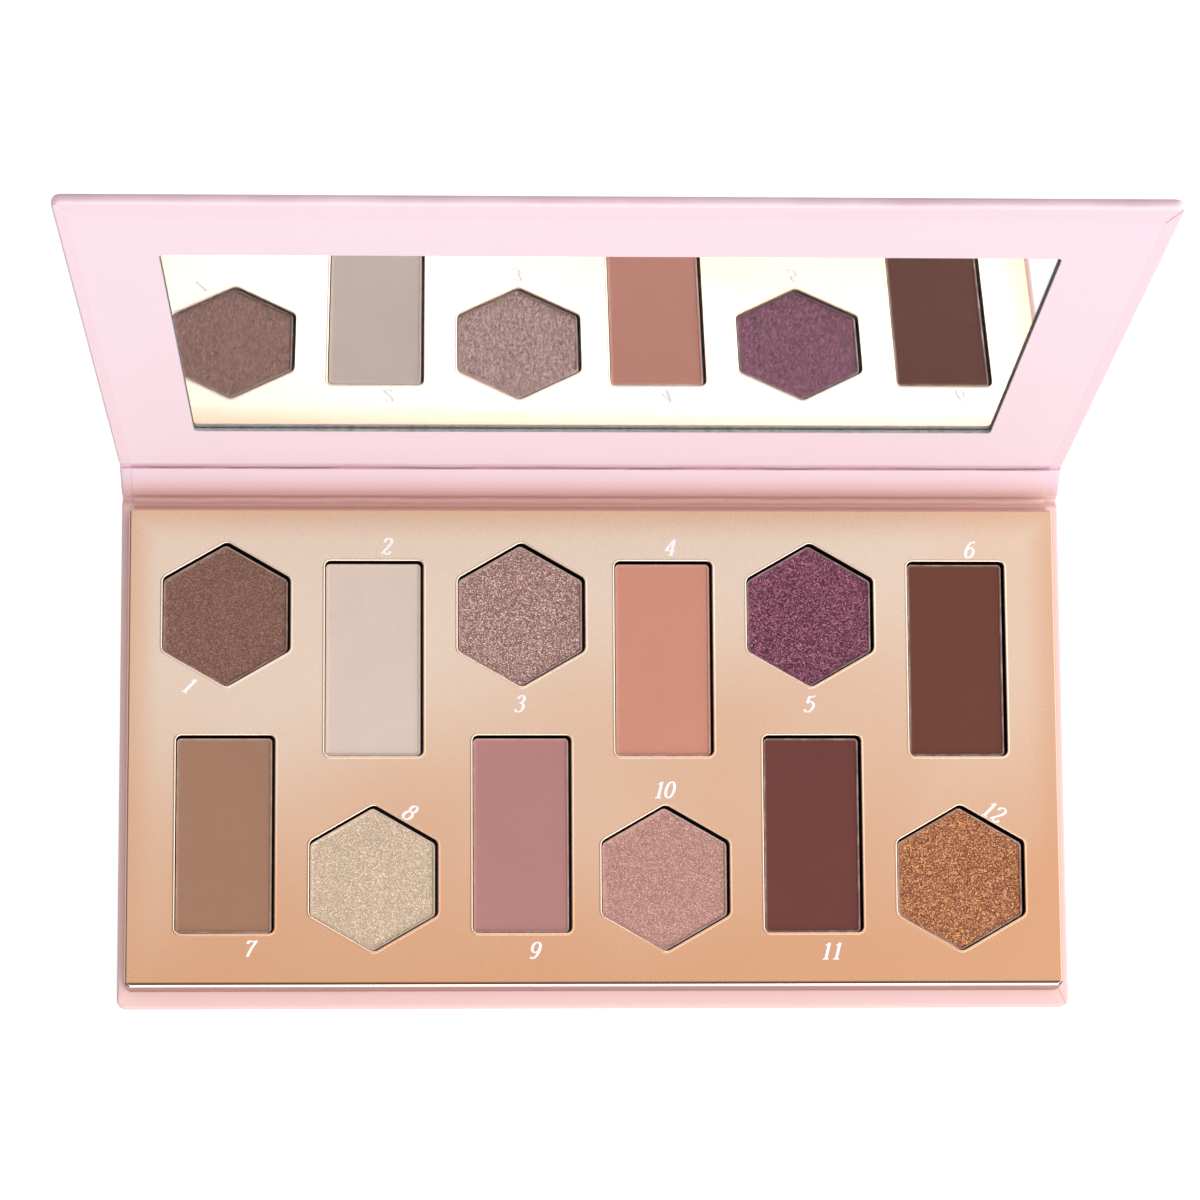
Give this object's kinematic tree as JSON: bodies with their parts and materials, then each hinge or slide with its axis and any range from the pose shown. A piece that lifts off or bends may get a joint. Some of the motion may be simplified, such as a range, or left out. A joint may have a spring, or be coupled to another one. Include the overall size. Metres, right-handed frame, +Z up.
{
  "type": "eyeshadow palette",
  "caption": "Folding paper-covered board case with a hinged spine and mirror lid, and a plastic tray of hexagonal and rectangular pans of pressed powder.",
  "frame": {"origin": "centre of the case base's underside", "axes": "+Z up, +X along the fold to the user's right, +Y from the front edge to the fold"},
  "size_m": [0.16, 0.1105, 0.0913],
  "materials": {
    "grey_board": "raw uncoated grey board",
    "pink_paper": "soft-touch laminated covering paper, matte",
    "lining_paper": "smooth lining paper, matte",
    "adhesive": "translucent adhesive",
    "rose_gold_plastic": "metallised rose gold, satin deck with polished edges",
    "magnet": "nickel-plated",
    "pan_aluminium": "drawn and bright",
    "mirror": "polished",
    "shimmer_1": "pressed powder with shimmer",
    "shimmer_2": "pressed powder with shimmer",
    "shimmer_3": "pressed powder with shimmer",
    "shimmer_4": "pressed powder with shimmer",
    "shimmer_5": "pressed powder with shimmer",
    "shimmer_6": "pressed powder with shimmer",
    "matte_1": "pressed powder, matte",
    "matte_2": "pressed powder, matte",
    "matte_3": "pressed powder, matte",
    "matte_4": "pressed powder, matte",
    "matte_5": "pressed powder, matte",
    "matte_6": "pressed powder, matte"
  },
  "bodies": {
    "base": {"base_board": "grey_board", "base_wrap": "pink_paper", "base_liner": "lining_paper", "tray_tape": "adhesive", "tray_shell": "rose_gold_plastic", "base_magnets": "magnet", "pan_glue": "adhesive", "hex_pan_1": "pan_aluminium", "hex_pan_2": "pan_aluminium", "hex_pan_3": "pan_aluminium", "hex_pan_4": "pan_aluminium", "hex_pan_5": "pan_aluminium", "hex_pan_6": "pan_aluminium", "rect_pan_1": "pan_aluminium", "rect_pan_2": "pan_aluminium", "rect_pan_3": "pan_aluminium", "rect_pan_4": "pan_aluminium", "rect_pan_5": "pan_aluminium", "rect_pan_6": "pan_aluminium", "hex_powder_1": "shimmer_1", "hex_powder_2": "shimmer_2", "hex_powder_3": "shimmer_3", "hex_powder_4": "shimmer_4", "hex_powder_5": "shimmer_5", "hex_powder_6": "shimmer_6", "rect_powder_1": "matte_1", "rect_powder_2": "matte_2", "rect_powder_3": "matte_3", "rect_powder_4": "matte_4", "rect_powder_5": "matte_5", "rect_powder_6": "matte_6"},
    "spine": {"spine_board": "grey_board", "spine_wrap": "pink_paper", "spine_liner": "lining_paper"},
    "lid": {"lid_board": "grey_board", "lid_spacer_board": "grey_board", "lid_frame_board": "grey_board", "lid_wrap": "pink_paper", "lid_liner": "lining_paper", "mirror_sheet": "mirror", "mirror_tape": "adhesive", "lid_magnets": "magnet"}
  },
  "joints": [
    {"name": "spine_fold", "type": "hinge", "parent": "base", "child": "spine", "pos_m": [0, 0.0444, 0.00007], "axis": [-1, 0, 0], "range_deg": [-46, 44]},
    {"name": "lid_fold", "type": "hinge", "parent": "spine", "child": "lid", "pos_m": [0, 0.05023, 0.0057], "axis": [-1, 0, 0], "range_deg": [-55.6, 34.4]}
  ]
}
